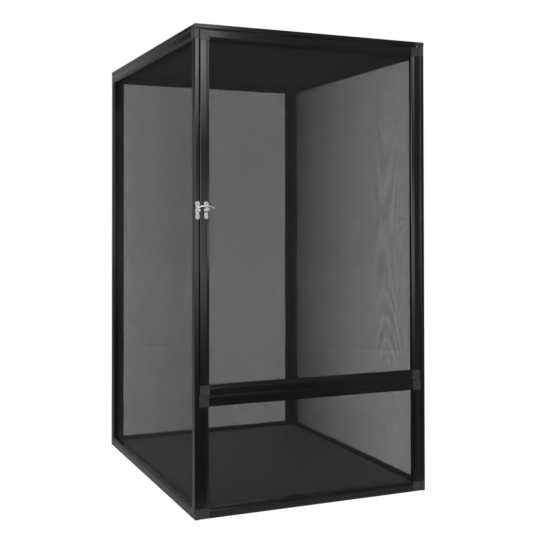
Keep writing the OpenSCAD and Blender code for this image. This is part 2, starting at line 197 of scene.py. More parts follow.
# %% Small helpers for node trees


def add(tree, kind, inputs=None, **settings):
    """Adds a node; inputs are values or the sockets that feed them, settings are its own properties."""
    made = tree.nodes.new(kind)
    for key, value in settings.items():
        setattr(made, key, value)
    for key, value in (inputs or {}).items():
        if isinstance(value, bpy.types.NodeSocket):
            tree.links.new(value, made.inputs[key])
        else:
            made.inputs[key].default_value = value
    return made


def combined(tree, a, b, operation="ADD"):
    """a and b put together by a Math node, which adds them unless another operation is named."""
    return add(tree, "ShaderNodeMath", {0: a, 1: b}, operation=operation).outputs[0]


def times(tree, a, b):
    """a times b."""
    return combined(tree, a, b, "MULTIPLY")


def remap(tree, value, low, high, to_low=0.0, to_high=1.0):
    """value between low and high becomes to_low to to_high, held at both ends."""
    return add(tree, "ShaderNodeMapRange", {"Value": value, "From Min": low, "From Max": high,
                                            "To Min": to_low, "To Max": to_high}).outputs[0]


def profile(tree, value, stops):
    """A curve through (value, result) stops, straight between them and held at both ends."""
    low, high = stops[0][0], stops[-1][0]
    peak = max(result for _, result in stops)
    ramp = add(tree, "ShaderNodeValToRGB", {0: remap(tree, value, low, high)})
    marks = ramp.color_ramp.elements
    while len(marks) < len(stops):
        marks.new(0.5)
    for mark, (at, _) in zip(marks, stops):
        mark.position = (at - low) / (high - low)
    for mark, (_, result) in zip(marks, stops):
        mark.color = (result / peak, result / peak, result / peak, 1)
    return times(tree, ramp.outputs["Color"], peak)


def mix(tree, factor, a, b):
    """Colour a where factor is 0 and b where it is 1."""
    made = add(tree, "ShaderNodeMix", data_type="RGBA")
    for key, value in (("Factor_Float", factor), ("A_Color", a), ("B_Color", b)):
        socket = next(s for s in made.inputs if s.identifier == key)
        if isinstance(value, bpy.types.NodeSocket):
            tree.links.new(value, socket)
        else:
            socket.default_value = value
    return next(s for s in made.outputs if s.identifier == "Result_Color")


def new_group(name, inputs, outputs):
    """An empty shader group with named sockets, its input node and its output node."""
    group = bpy.data.node_groups.new(name, "ShaderNodeTree")
    for label, kind, value in inputs:
        socket = group.interface.new_socket(label, in_out="INPUT", socket_type="NodeSocket" + kind)
        if value is not None:
            socket.default_value = value
    for label, kind in outputs:
        group.interface.new_socket(label, in_out="OUTPUT", socket_type="NodeSocket" + kind)
    print("group:", name)
    return group, group.nodes.new("NodeGroupInput"), group.nodes.new("NodeGroupOutput")


# %% [markdown]
# ### Drawn lines
# A die leaves lines along everything that is drawn through it. They could be thousands of thin bumps in
# the mesh. A noise that is stretched along the piece and very fine across it gives the same shine for
# nothing: one noise for the lines themselves, and a broader one for the streaks that they gather in.

# %% The drawn lines' group
FINE_ALONG = 6.0  # cells per metre along the piece, for the lines
BROAD_ALONG, BROAD_ACROSS = 2.5, 260.0  # cells per metre along and across it, for the streaks
# A noise keeps near 0.5, so here and below a mask is its middle part, stretched to the whole range.
drawn_lines, come, go = new_group(
    "drawn lines", [("Along", "Vector", None), ("Lines per metre", "Float", 2500.0)],
    [("Height", "Float"), ("Mask", "Float")])
split = add(drawn_lines, "ShaderNodeSeparateXYZ", {0: come.outputs["Along"]})
fine = add(drawn_lines, "ShaderNodeCombineXYZ",
           {0: times(drawn_lines, split.outputs[0], FINE_ALONG),
            1: times(drawn_lines, split.outputs[1], come.outputs["Lines per metre"])})
lines = add(drawn_lines, "ShaderNodeTexNoise", {"Vector": fine.outputs[0], "Scale": 1.0, "Detail": 3.0})
broad = add(drawn_lines, "ShaderNodeCombineXYZ", {0: times(drawn_lines, split.outputs[0], BROAD_ALONG),
                                                  1: times(drawn_lines, split.outputs[1], BROAD_ACROSS)})
streaks = add(drawn_lines, "ShaderNodeTexNoise", {"Vector": broad.outputs[0], "Scale": 1.0, "Detail": 2.0})
drawn_lines.links.new(lines.outputs["Fac"], go.inputs["Height"])
drawn_lines.links.new(remap(drawn_lines, streaks.outputs["Fac"], 0.35, 0.65), go.inputs["Mask"])

# %% [markdown]
# ### Grain
# A sprayed or moulded surface is covered in small rounded cells of one size. A plain noise has cells of
# every size and looks like stone. So the cells come from a smooth Voronoi pattern, and a finer noise
# breaks them up.

# %% The grain's group
FINER = 1.7  # how many times finer the noise is than the cells
grain, come, go = new_group(
    "grain", [("Place", "Vector", None), ("Cells per metre", "Float", 1500.0)],
    [("Height", "Float"), ("Mask", "Float")])
cells = add(grain, "ShaderNodeTexVoronoi",
            {"Vector": come.outputs["Place"], "Scale": come.outputs["Cells per metre"]},
            feature="SMOOTH_F1")
finer = add(grain, "ShaderNodeTexNoise",
            {"Vector": come.outputs["Place"],
             "Scale": times(grain, come.outputs["Cells per metre"], FINER), "Detail": 2.0})
grain.links.new(combined(grain, cells.outputs["Distance"], finer.outputs["Fac"]), go.inputs["Height"])
grain.links.new(remap(grain, finer.outputs["Fac"], 0.3, 0.7), go.inputs["Mask"])

# %% [markdown]
# ### Dust
# Dust lies in wide soft patches, broken into specks, and more of it where a face looks up. It could be
# painted on each piece, but here one group reads the surface's own direction, so every finish takes the
# same dust with its own amount.

# %% The dust's group
SPECKS = 900.0  # specks per metre
dust, come, go = new_group(
    "dust", [("Place", "Vector", None), ("Patches per metre", "Float", 9.0), ("Upward", "Float", 0.5)],
    [("Mask", "Float")])
patches = add(dust, "ShaderNodeTexNoise",
              {"Vector": come.outputs["Place"], "Scale": come.outputs["Patches per metre"],
               "Detail": 5.0, "Roughness": 0.6})
specks = add(dust, "ShaderNodeTexNoise", {"Vector": come.outputs["Place"], "Scale": SPECKS, "Detail": 1.0})
facing = add(dust, "ShaderNodeSeparateXYZ",
             {0: add(dust, "ShaderNodeNewGeometry").outputs["Normal"]}).outputs[2]
lift = times(dust, remap(dust, facing, 0.2, 1.0), come.outputs["Upward"])
soft = remap(dust, patches.outputs["Fac"], 0.42, 0.72)
speckled = times(dust, soft, remap(dust, specks.outputs["Fac"], 0.35, 0.65, 0.4, 1.0))
dust.links.new(combined(dust, speckled, lift), go.inputs["Mask"])

# %% What every finish starts with
VIEWPORT_BLACK = (0.05, 0.05, 0.05, 1)  # how a black finish looks in Blender's solid view


def place_group(tree, group, inputs):
    """Puts a shared effect into a finish."""
    return add(tree, "ShaderNodeGroup", inputs, node_tree=group)


def new_finish(name, **principled):
    """A material with one Principled BSDF; plain numbers are set on the shader's own sockets."""
    material = bpy.data.materials.new(name)
    material.use_nodes = True
    tree = material.node_tree
    shader = tree.nodes["Principled BSDF"]
    for key, value in principled.items():
        shader.inputs[key.replace("_", " ")].default_value = value
    material.diffuse_color = principled.get("Base_Color", VIEWPORT_BLACK)
    print("finish:", name)
    return material, tree, shader


def where_on_piece(tree):
    """The place on the piece, in metres."""
    return add(tree, "ShaderNodeTexCoord").outputs["Object"]


def way_along(tree):
    """The way along the piece and round it, in metres."""
    return add(tree, "ShaderNodeUVMap", uv_map="along").outputs[0]


def dusted(tree, shader, clean, dirty, patches, upward, cover=None):
    """Turns the clean colour towards the dirty one by cover times the dust, and gives the dust's mask."""
    film = place_group(tree, dust, {"Place": where_on_piece(tree), "Patches per metre": patches,
                                    "Upward": upward}).outputs["Mask"]
    share = film if cover is None else times(tree, film, cover)
    tree.links.new(mix(tree, share, clean, dirty), shader.inputs["Base Color"])
    return film


def roughened(tree, shader, mask, low, high):
    """Roughness from low where the mask is 0 to high where it is 1."""
    tree.links.new(remap(tree, mask, 0.0, 1.0, low, high), shader.inputs["Roughness"])


def bump(tree, shader, height, strength, distance):
    """Feeds a height into the shader's normal; distance is in metres."""
    made = add(tree, "ShaderNodeBump", {"Height": height, "Strength": strength, "Distance": distance})
    tree.links.new(made.outputs["Normal"], shader.inputs["Normal"])


# %% [markdown]
# ### Coated stock
# The bars are drawn metal under a thin satin black coat. A plain glossy black would mirror like glass.
# The drawn lines move its colour, its roughness and a very small bump, and the anisotropic shine lies
# across the bar, so a reflection spreads as it does on real stock. A breath of dust dulls it.

# %% Satin black stock


def satin_black_stock():
    """Black coated stock: lines along the bar spread a reflection across it, and dust dulls it."""
    material, tree, shader = new_finish("satin black stock", Specular_IOR_Level=0.65, Anisotropic=0.35,
                                        Anisotropic_Rotation=0.25)
    lines = place_group(tree, drawn_lines, {"Along": way_along(tree), "Lines per metre": 2600.0})
    black = mix(tree, lines.outputs["Mask"], (0.0046, 0.0047, 0.0053, 1), (0.0064, 0.0065, 0.0071, 1))
    film = dusted(tree, shader, black, (0.075, 0.073, 0.068, 1), patches=7.0, upward=0.2, cover=0.04)
    sheen = combined(tree, remap(tree, lines.outputs["Height"], 0.3, 0.7, 0.09, 0.13),
                     times(tree, film, 0.05))
    tree.links.new(sheen, shader.inputs["Roughness"])
    grainwise = add(tree, "ShaderNodeTangent", direction_type="UV_MAP", uv_map="along")
    tree.links.new(grainwise.outputs[0], shader.inputs["Tangent"])
    bump(tree, shader, lines.outputs["Height"], strength=0.12, distance=0.00003)
    return material


stock_finish = satin_black_stock()

# %% [markdown]
# ### Moulded blocks
# The corner blocks are plastic from a mould whose walls were etched, which leaves a fine even grain. It
# scatters the light, so the blocks look a shade paler and duller than the stock beside them. A paler
# colour alone could say that, but the grain also breaks up the shine along the rounded edges.

# %% Moulded corner plastic


def moulded_block():
    """Black plastic with a fine etched grain, a shade paler and duller than the stock."""
    material, tree, shader = new_finish("moulded corner plastic", Specular_IOR_Level=0.65)
    cells = place_group(tree, grain, {"Place": where_on_piece(tree), "Cells per metre": 2400.0})
    black = mix(tree, cells.outputs["Mask"], (0.026, 0.0266, 0.028, 1), (0.034, 0.0347, 0.0365, 1))
    dusted(tree, shader, black, (0.10, 0.10, 0.095, 1), patches=22.0, upward=0.2, cover=0.16)
    roughened(tree, shader, cells.outputs["Mask"], low=0.21, high=0.27)
    bump(tree, shader, cells.outputs["Height"], strength=0.3, distance=0.00006)
    return material


block_finish = moulded_block()

# %% [markdown]
# ### Screen wire
# The wires are coated black and woven over and under each other. Modelled waves would cost millions of
# faces. A wave texture along each wire tilts its shine once over each crossing instead, and dust gathers
# on the coat.

# %% Coated screen wire


def screen_wire():
    """Coated wire: the height swings once over each crossing, so the straight wires look woven."""
    material, tree, shader = new_finish("coated screen wire", Specular_IOR_Level=0.4)
    film = dusted(tree, shader, (0.0075, 0.0075, 0.0078, 1), (0.08, 0.078, 0.073, 1),
                  patches=5.0, upward=0.3, cover=0.14)
    roughened(tree, shader, film, low=0.5, high=0.7)
    wave = add(tree, "ShaderNodeTexWave", {"Vector": way_along(tree), "Scale": 1.0}, bands_direction="X")
    bump(tree, shader, wave.outputs["Fac"], strength=0.4, distance=0.0001)
    return material


wire_finish = screen_wire()

# %% [markdown]
# ### Spline rubber
# The cord in the groove is soft black rubber, dull, with fine rings where the roller pressed it. Rings
# in the mesh would be too even, so a noise along the cord gives them. Dust sticks to rubber more than
# to the coated metal beside it.

# %% Spline rubber


def spline_rubber():
    """Black rubber cord with fine rings where the roller pressed it."""
    material, tree, shader = new_finish("spline rubber", Specular_IOR_Level=0.35)
    film = dusted(tree, shader, (0.008, 0.008, 0.008, 1), (0.07, 0.068, 0.063, 1),
                  patches=30.0, upward=0.2, cover=0.3)
    roughened(tree, shader, film, low=0.6, high=0.8)
    rings = add(tree, "ShaderNodeTexNoise", {"Vector": way_along(tree), "Scale": 700.0, "Detail": 1.0})
    bump(tree, shader, rings.outputs["Fac"], strength=0.5, distance=0.0002)
    return material


rubber_finish = spline_rubber()

# %% [markdown]
# ### Floor plastic
# The floor sheet is a rigid dark plastic with an embossed leather grain, scuffed paler by what has
# stood on it. It could have a grain of its own, but the same one as on the blocks, about six times
# coarser, keeps the two alike.

# %% Floor plastic


def floor_plastic():
    """Dark rigid sheet with an embossed leather grain, scuffed paler in patches."""
    material, tree, shader = new_finish("floor plastic", Specular_IOR_Level=0.4)
    cells = place_group(tree, grain, {"Place": where_on_piece(tree), "Cells per metre": 420.0})
    grey = mix(tree, cells.outputs["Mask"], (0.118, 0.114, 0.108, 1), (0.145, 0.140, 0.133, 1))
    dusted(tree, shader, grey, (0.20, 0.19, 0.175, 1), patches=12.0, upward=0.15, cover=0.3)
    roughened(tree, shader, cells.outputs["Mask"], low=0.5, high=0.66)
    bump(tree, shader, cells.outputs["Height"], strength=0.4, distance=0.0003)
    return material


floor_finish = floor_plastic()

# %% [markdown]
# ### Metals
# The latch is nickel plated, the hinge pins are plain drawn steel, and the frame screws are black oxide
# steel. A metal is told by what it mirrors, so its colour stays even, and the patches that are duller
# and rougher are what keeps it from looking like chrome. Dust serves as that mask: on metal it reads as
# tarnish, and on black oxide as bare metal showing through.

# %% Plated, drawn and black metals


def plated_metal(name, colour, smooth, tarnish):
    """Plated or drawn metal: even colour, with hairline scratches and duller patches in the sheen.

    smooth is the roughness of its brightest places, and tarnish how much its patches darken.
    """
    material, tree, shader = new_finish(name, Metallic=1.0, Base_Color=(*colour, 1))
    dull = (colour[0] * 0.55, colour[1] * 0.52, colour[2] * 0.48, 1)
    film = dusted(tree, shader, (*colour, 1), dull, patches=260.0, upward=0.0, cover=tarnish)
    roughened(tree, shader, film, low=smooth, high=smooth + 0.16)
    scratches = add(tree, "ShaderNodeTexNoise",
                    {"Vector": where_on_piece(tree), "Scale": 5200.0, "Detail": 2.0})
    bump(tree, shader, scratches.outputs["Fac"], strength=0.12, distance=0.00003)
    return material


def black_screw():
    """Black oxide steel: dark, a little oily, with bare metal showing in patches."""
    material, tree, shader = new_finish("black oxide screw", Metallic=1.0)
    film = dusted(tree, shader, (0.035, 0.034, 0.034, 1), (0.11, 0.105, 0.10, 1), patches=400.0, upward=0.0)
    roughened(tree, shader, film, low=0.3, high=0.5)
    return material


nickel_finish = plated_metal("bright nickel", (0.88, 0.87, 0.86), smooth=0.16, tarnish=0.5)
steel_finish = plated_metal("drawn steel", (0.5, 0.5, 0.51), smooth=0.26, tarnish=0.4)
screw_finish = black_screw()

# %% [markdown]
# ## The stock
# Each bar is a length of one extrusion: a flat face, a sloping strip beside the opening, a small nose,
# and on the back a groove for the spline. It could be a box with modifiers, but the light lives on the
# small radii, so the section is drawn point by point and carried along the bar.

# %% The section of the stock


def rounded(corners, radii, n=4, shoulder=0.00006):
    """A polygon whose corners are cut back by their radius and joined by a curve through the cut.

    One more point a shoulder away on either side keeps the shading of the flat between two corners flat.
    """
    corners, radii = np.asarray(corners, float), np.asarray(radii, float)
    before, after = np.roll(corners, 1, 0) - corners, np.roll(corners, -1, 0) - corners
    before /= np.linalg.norm(before, axis=1)[:, None]
    after /= np.linalg.norm(after, axis=1)[:, None]
    a, b = corners + before * radii[:, None], corners + after * radii[:, None]
    t = np.linspace(0, 1, n)[None, :, None]
    curve = (1 - t) ** 2 * a[:, None] + 2 * t * (1 - t) * corners[:, None] + t ** 2 * b[:, None]
    curve = np.concatenate([(a + before * shoulder)[:, None], curve, (b + after * shoulder)[:, None]], 1)
    return curve.reshape(-1, 2)


groove_hi = STOCK_W - LIP
groove_lo = groove_hi - GROOVE
section_corners = [(0, 0), (STOCK_W - SLOPE_W, 0), (STOCK_W - NOSE, SLOPE_D), (STOCK_W, SLOPE_D + NOSE),
                   (STOCK_W, STOCK_T), (groove_hi, STOCK_T), (groove_hi, STOCK_T - GROOVE),
                   (groove_lo, STOCK_T - GROOVE), (groove_lo, STOCK_T), (0, STOCK_T)]
# One radius for each of these corners.
section_radii = [0.0015, 0.0008, 0.0003, 0.0003, 0.0003, 0.00025, 0.0002, 0.0002, 0.00025, 0.0015]
SEAM = 45  # the outline starts at this point, in the groove, where the finish's seam does not show
section = np.roll(rounded(section_corners, section_radii, n=5), -SEAM, axis=0)
girth = np.concatenate([[0], np.cumsum(np.linalg.norm(np.diff(section, axis=0), axis=1))])
print(len(section), "points round the stock,", round(girth[-1] * 1000, 1), "mm of outline")

# %% Bars: the section carried from block to block
END_GAP, END_INSET = 0.00012, 0.00022  # the fine shadow line between a bar and its corner block
FINISH_STEP = 0.37  # how far the finish is moved along from one bar to the next


def bar(panel, side, node):
    """The section carried along one side of a frame, with both ends drawn in a hair's breadth.

    A point is (distance along, u from the outer edge, v from the outer face); the ends shrink the
    section towards its middle, which leaves a fine shadow line against each corner block.
    """
    length = panel.bar_length(side)
    near = np.array([END_GAP, END_GAP + END_INSET, END_GAP + 1.5 * END_INSET])
    steps = np.concatenate([near, [length / 2], length - near[::-1]])
    middle = np.array([STOCK_W * 0.45, STOCK_T / 2])  # a point well inside the section
    reach = np.abs(section - middle).max(0)
    at_ends = np.array([1, 0, 0, 0, 0, 0, 1])[:, None, None]
    ring = section[None] - (section[None] - middle) * (at_ends * END_INSET / reach)
    along = (STOCK_W + steps)[:, None] + 0 * ring[..., 0]
    points = panel.beside(side, along, ring[..., 0], ring[..., 1])
    uv = np.stack([along + FINISH_STEP * len(bars), girth[None] + 0 * along], -1)
    return outward(make_piece(node + "_stock", points, tube_faces(*along.shape), stock_finish,
                              panel.body, [node], "frame_bar", uv, sharp=30))


SIDES = {"left": {"left": "front", "right": "rear", "top": "top", "bottom": "bottom"},
         "top": {"left": "left", "right": "right", "top": "rear", "bottom": "front"},
         "door": {"left": "latch", "right": "hinge", "top": "top", "bottom": "bottom"}}
SIDES["right"], SIDES["base"] = SIDES["left"], SIDES["top"]
plain_sides = {side: side for side in ("left", "right", "top", "bottom")}
bars = []
for name, panel in frames.items():
    for side, word in SIDES.get(name, plain_sides).items():
        bars.append(bar(panel, side, f"{name}_{word}_bar"))
print(len(bars), "bars,", sum(len(b.data.polygons) for b in bars), "faces")

# %% [markdown]
# ## Corner blocks and the floor sheet
# A corner block is moulded, so every edge has a small radius. It could be built anew as the bars are,
# but its solid already has the right form, with its pocket, bores and screw holes. So a copy of it is
# merged, its flat faces are joined again, and a Bevel modifier rounds what is left. A Weighted Normal
# modifier then lets the large faces set the shading, so the flats stay flat beside their soft edges.
# The same copy-and-round suits the floor sheet and the latch's plates.

# %% Rounded copies of solids
SAME_POINT = 1e-6  # points of a solid that are nearer than this, in metres, are one
STILL_FLAT = 1.0  # faces that turn less than this many degrees are joined
BY_SIZE = 80  # how much more a large face sets the shading than a small one, 50 being not at all


def rounded_copy(node, name, material, body, radius, segments=2, angle=28):
    """A copy of a solid: merged, its flat triangles joined, then its edges rounded by a Bevel."""
    shell = bmesh.new()
    shell.from_mesh(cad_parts[node].data)
    bmesh.ops.remove_doubles(shell, verts=shell.verts, dist=SAME_POINT)
    bmesh.ops.dissolve_limit(shell, angle_limit=math.radians(STILL_FLAT), verts=shell.verts,
                             edges=shell.edges)
    mesh = bpy.data.meshes.new(name)
    shell.to_mesh(mesh)
    shell.free()
    piece = dress(name, mesh, material, body, [node], angle)
    soften = piece.modifiers.new("rounded edges", "BEVEL")
    soften.width, soften.segments = radius, segments
    soften.limit_method, soften.angle_limit = "ANGLE", math.radians(angle)
    soften.use_clamp_overlap = True
    flats = piece.modifiers.new("flats stay flat", "WEIGHTED_NORMAL")
    flats.mode, flats.weight, flats.keep_sharp = "FACE_AREA", BY_SIZE, False


BLOCK_EDGE, SHEET_EDGE = 0.0005, 0.0004  # the radius of their edges
for name, panel in frames.items():
    rounded_copy(f"{name}_corners", f"{name}_corner_blocks", block_finish, panel.body,
                 BLOCK_EDGE)
rounded_copy("floor_sheet", "floor_sheet_laid", floor_finish, "cage", SHEET_EDGE)
print(len(frames), "sets of corner blocks and the floor sheet rounded")

# %% [markdown]
# ## The screens
# The screen is woven wire. A picture of a net on a flat sheet would be quick, but it shows neither the
# light between the wires nor the moving pattern of two screens behind each other. A modelled weave is
# far too heavy for thousands of wires. So each wire is a flat strip: its ends turn down into the groove,
# its middle bows a little, as in a screen that was rolled in by hand, and the two directions lie one on
# the other. The weave is finer at the sides and on top, so two screens behind each other do not beat as
# one. There the strips also have their own width and depth, which sets how much light a screen lets
# through when it is seen at a slant. On the two sides the depth also changes across the screen, which is
# painted shade: such a screen lets less light through towards one side.

# %% Wires, all of one direction at once
WIRE_T = 0.000025  # how deep a wire is, and how far one direction lies above the other
# From wire to wire, and the width of a wire: for most screens, then for those that have their own.
PITCH, WIRE_W = 0.00075, 0.000314
pitches = {"left": 0.00040, "right": 0.00040, "top": 0.00052}
wire_widths = {"left": 0.000138, "right": 0.000130, "top": 0.000217}
# How deep the first and the last wire of a direction stand, and the least depth of any wire. On the
# left and right screens the depth changes across the screen, which is painted shade: the left one lets
# less light through towards its front and bottom, the right one towards its back and top.
wire_depths_and_shade = {"top": (0.00010, 0.00010), "right": (-0.000013, 0.000129), "left": (0.000036, 0.000005)}
LEAST_DEPTH = 0.3 * WIRE_T
BOW, SAG = 0.0011, 0.0007  # how far a wire bows sideways, and the screen inwards
WAVES, WAVE_START = 1.7, 0.3  # slow waves over a screen, and where they start, per letter of its name
ABOVE_BARS = 0.00015  # how far the wires lie above the inner face of the bars
TUCK_RUN, TUCK_DIP, TUCK_FROM = 0.0007, 0.0014, 0.0012  # the end in the groove: out, down, and from where


def wires(panel, along_width, layer):
    """Every wire of one direction as flat strips.

    The path of a wire is s from 0 to 1 over the opening. Its own line bows sideways by
    BOW * sin(pi s) * (a slow wave over the screen), and the screen sags inwards by
    SAG * sin(pi s) * sin(pi c), where c is the wire's place across the screen.
    """
    width, height = panel.size
    edge = STOCK_W - LIP
    reach = width if along_width else height
    room = height if along_width else width
    pitch = pitches.get(panel.name, PITCH)
    count = int((room - 2 * edge) / pitch)
    c = (np.arange(count) + 0.5) / count
    centre = edge + c * (room - 2 * edge)
    s = np.array([0, 0, 0.25, 0.5, 0.75, 1, 1])
    ends = np.array([-TUCK_RUN, TUCK_FROM, 0, 0, 0, -TUCK_FROM, TUCK_RUN])
    dip = np.array([-TUCK_DIP, 0, 0, 0, 0, 0, -TUCK_DIP])
    path = edge + s * (reach - 2 * edge) + ends
    rise = np.sin(np.pi * s)
    bow = BOW * rise * np.sin(2 * np.pi * (c[:, None] * WAVES + WAVE_START * len(panel.name)))
    sag = SAG * rise * np.sin(np.pi * c[:, None])
    level = STOCK_T + ABOVE_BARS + layer * WIRE_T + sag + dip
    side = centre[:, None] + bow
    half = wire_widths.get(panel.name, WIRE_W) / 2
    # A depth that changes from the first wire to the last paints shade across the screen.
    first_depth, last_depth = wire_depths_and_shade.get(panel.name, (WIRE_T, WIRE_T))
    depth = np.maximum(first_depth + (last_depth - first_depth) * c[:, None, None], LEAST_DEPTH)
    across = np.array([-half, half, half, -half])
    inward = np.array([0, 0, 1, 1])
    u = side[:, :, None] + across
    z = level[:, :, None] + depth * inward
    run = np.broadcast_to(path[None, :, None], u.shape)
    points = panel.place(run, u, z) if along_width else panel.place(u, run, z)
    uv = np.stack([run / pitch / 2 + (np.arange(count) % 2)[:, None, None] * 0.5, u], -1)
    one = np.array(tube_faces(len(s), 4))
    faces = (one[None] + (np.arange(count) * len(s) * 4)[:, None, None]).reshape(-1, 4)
    return points.reshape(-1, 3), uv.reshape(-1, 2), faces


screened = [panel for name, panel in frames.items() if name != "base"]
for panel in screened:
    first, second = wires(panel, True, 0), wires(panel, False, 1)
    points, uv = np.concatenate([first[0], second[0]]), np.concatenate([first[1], second[1]])
    faces = np.concatenate([first[2], second[2] + len(first[0])]).tolist()
    net = make_piece(f"{panel.name}_screen", points, faces, wire_finish, panel.body,
                     [f"{panel.name}_mesh"], "screen", uv, sharp=30)
    outward(net)
    print(f"{net.name}: {len(faces)} faces")

# %% [markdown]
# ## The splines
# A rubber cord holds each side of a screen in its groove. It could be an even rod, but it is pressed in
# with a roller: its top is slightly flattened, and it swells between the roller's steps. So a circle is
# carried along the groove with a radius that changes.

# %% Splines pressed into the grooves
CORD_SIDES = 12  # points round the cord
CORD_STEP = 0.007  # from one ring of points to the next, at least a dozen of them
CORD_TOP = 0.0001  # the flattened top lies this far below the inner face
FILL, SWELL = 0.93, 0.05  # how much of the groove the cord fills, and by how much it swells
ROLLER, DRIFT = 520, 91  # radians per metre of the roller's steps, and of the slow change in them


def joined(parts):
    """Several (points, faces) put together as one."""
    points, faces, start = [], [], 0
    for p, f in parts:
        points.append(p)
        faces += [[i + start for i in face] for face in f]
        start += len(p)
    return np.concatenate(points), faces


def spline_cords(panel):
    """Four cords, each a circle carried along its groove with a radius that swells and eases.

    The radius is r * (FILL + SWELL * sin(steps) * cos(drift)), with the top held flat.
    """
    r = GROOVE / 2
    a = np.linspace(0, 2 * np.pi, CORD_SIDES, endpoint=False)
    cords, uvs = [], []
    for side in ("bottom", "top", "left", "right"):
        length = panel.bar_length(side)
        rows = max(12, int(length / CORD_STEP))
        run = np.linspace(0, length, rows)[:, None] + STOCK_W
        swell = r * (FILL + SWELL * np.sin(run * ROLLER + len(side)) * np.cos(run * DRIFT))
        u = (groove_lo + groove_hi) / 2 + swell * np.cos(a)[None]
        v = np.minimum(STOCK_T - r + swell * np.sin(a)[None], STOCK_T - CORD_TOP)
        run = run + 0 * u
        points = panel.beside(side, run, u, v).reshape(-1, 3)
        cords.append((points, tube_faces(rows, CORD_SIDES)))
        uvs.append(np.stack([run, r * a[None] + 0 * run], -1).reshape(-1, 2))
    return outward(make_piece(f"{panel.name}_spline_cords", *joined(cords), rubber_finish, panel.body,
                              [f"{panel.name}_spline"], "spline", np.concatenate(uvs), sharp=50))


cords = [spline_cords(panel) for panel in screened]
print("splines in", len(cords), "frames")

# %% [markdown]
# ## The latch
# The hook is a forged bar, round at its edges and fullest at the top of its arch. A flat cut-out would
# catch the light only on its face, so the bar is swept: a soft-cornered section follows the arch, then
# the tail, and thins to a rounded tip. The eye is a turned ring, and the finger ball a turned ball.

# %% Sweeps and turned shapes


def soft_circle(sides, power):
    """Cosine and sine round a circle, raised to a power with their sign kept, which squares the circle."""
    a = np.linspace(0, 2 * np.pi, sides, endpoint=False)
    return [np.sign(w) * np.abs(w) ** power for w in (np.cos(a), np.sin(a))]


def swept(path, half_side, half_depth, depth, sides=24, power=0.4):
    """A closed bar along a path in one plane; depth is the unit vector across that plane.

    A ring of it is centre + half_side * C(a) * side + half_depth * S(a) * depth, where C and S are the
    soft circle's cosine and sine, and side is square to both the path and depth.
    """
    run = np.gradient(path, axis=0)
    run /= np.linalg.norm(run, axis=1)[:, None]
    side = np.cross(run, depth)
    c, s = soft_circle(sides, power)
    grid = (path[:, None] + half_side[:, None, None] * c[None, :, None] * side[:, None]
            + half_depth[:, None, None] * s[None, :, None] * depth)
    return grid.reshape(-1, 3), tube_faces(len(path), sides)


def turned(radius, height, foot, axis, sides=40, cross=None):
    """A profile turned about an axis: foot + height * axis + radius * (cos a, sin a) across it.

    cross = (depth, half width, half length, rows) sinks a driver's cross into the first rows: the
    depth times a soft box in |x| and |y|, taken both ways round.
    """
    axis = np.asarray(axis, float)
    first = np.cross(axis, [0.31, 0.9, 0.3])  # any direction that no axis here is parallel to
    first /= np.linalg.norm(first)
    second = np.cross(axis, first)
    a = np.linspace(0, 2 * np.pi, sides, endpoint=False)
    x, y = radius[:, None] * np.cos(a), radius[:, None] * np.sin(a)
    z = height[:, None] + 0 * x
    if cross:
        depth, wide, long, cross_rows = cross
        box_a = 1 / (1 + (x / wide) ** 8 + (y / long) ** 8)
        box_b = 1 / (1 + (y / wide) ** 8 + (x / long) ** 8)
        z[:cross_rows] -= depth * np.maximum(box_a, box_b)[:cross_rows]
    grid = np.asarray(foot) + x[..., None] * first + y[..., None] * second + z[..., None] * axis
    return grid.reshape(-1, 3), tube_faces(len(radius), sides)


# %% The hook's own plane, in millimetres from its pivot
MM = 0.001
BALL_R = 2.1  # the finger ball's radius; the ball is as deep as the hook's box
ARCH_X, ARCH_Z, ARCH_R, ARCH_RISE = -6.0, -0.6, 10.2, 7.3  # the arch's centre, half width and rise
TAIL_X, TAIL_Z, TAIL_R = 1.2, -10.6, 17.9  # the circle that the tail follows
BALL_ANGLE = 50  # where the ball sits on that circle, in degrees
TIP_ANGLE, EYE_ANGLE, TAIL_ANGLE = 190, -20, 108  # where the arch starts and ends, and the tail starts
EYE_R, EYE_WALL, EYE_HALF = 2.9, 1.3, 1.1  # the eye's middle line, and half its wall and its depth
out = np.array([0.0, -1.0, 0.0])
rivet_lo, rivet_hi = (np.array(v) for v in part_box("pivot_rivet"))
pivot = (rivet_lo + rivet_hi) / 2
hook_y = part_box("hook")[1][1] - BALL_R * MM


def in_hook(x, z):
    """Points of the hook's plane, x and z in millimetres from its pivot."""
    return np.stack([pivot[0] + x * MM, hook_y + 0 * x, pivot[2] + z * MM], 1)


def arc_path(cx, cz, r, start, stop, n, flat=1.0):
    """The hook's centre line on a circle, its height times flat; r may change along it."""
    a = np.radians(np.linspace(start, stop, n))
    return in_hook(cx + r * np.cos(a), cz + flat * r * np.sin(a))


print("hook hangs on", [round(v * 1000, 1) for v in pivot], "mm")

# %% The forged hook: arch, tail, eye and ball
ROWS = 44
